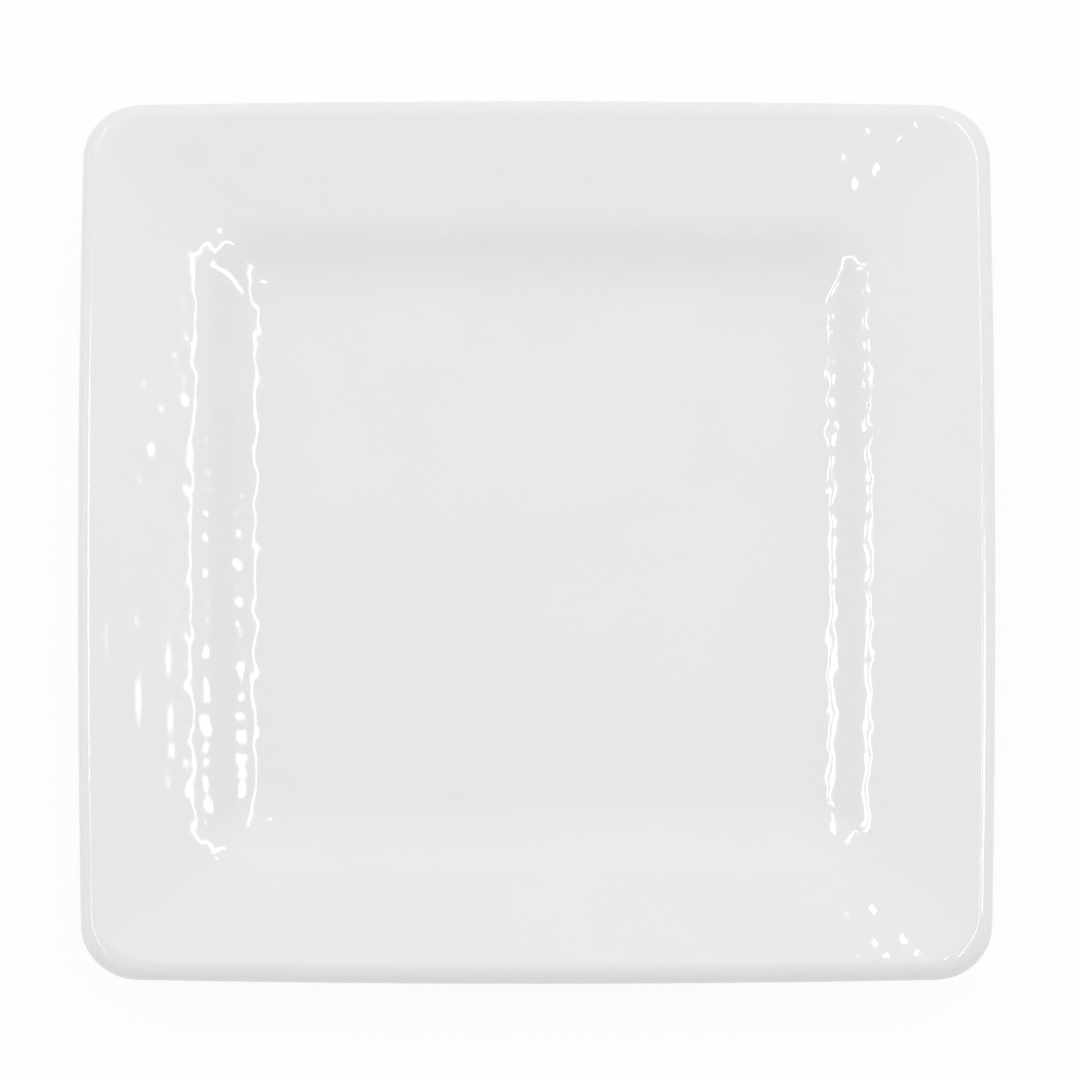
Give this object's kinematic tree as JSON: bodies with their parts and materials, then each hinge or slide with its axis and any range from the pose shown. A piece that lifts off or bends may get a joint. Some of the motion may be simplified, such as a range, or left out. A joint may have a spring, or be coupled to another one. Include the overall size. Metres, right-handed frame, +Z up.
{
  "type": "square dinner plate",
  "caption": "Square dinner plate with rounded corners, a broad rim that climbs to a rolled edge, a shallow square well with sloping walls, and a foot ring underneath.",
  "frame": {"origin": "middle of the plate, on the surface that it stands on", "axes": "+Z up out of the well, +X and +Y square to the sides of the plate"},
  "size_m": [0.27, 0.27, 0.0248],
  "materials": {
    "clay": "matt fired clay, hidden under the glaze",
    "bare_clay": "matt fired clay, wiped bare of glaze",
    "white_glaze": "glossy white glaze with a faint ripple"
  },
  "bodies": {
    "root": {"clay_body": "clay", "foot_ring": "bare_clay", "face_glaze": "white_glaze", "underside_glaze": "white_glaze", "base_glaze": "white_glaze"}
  },
  "joints": []
}
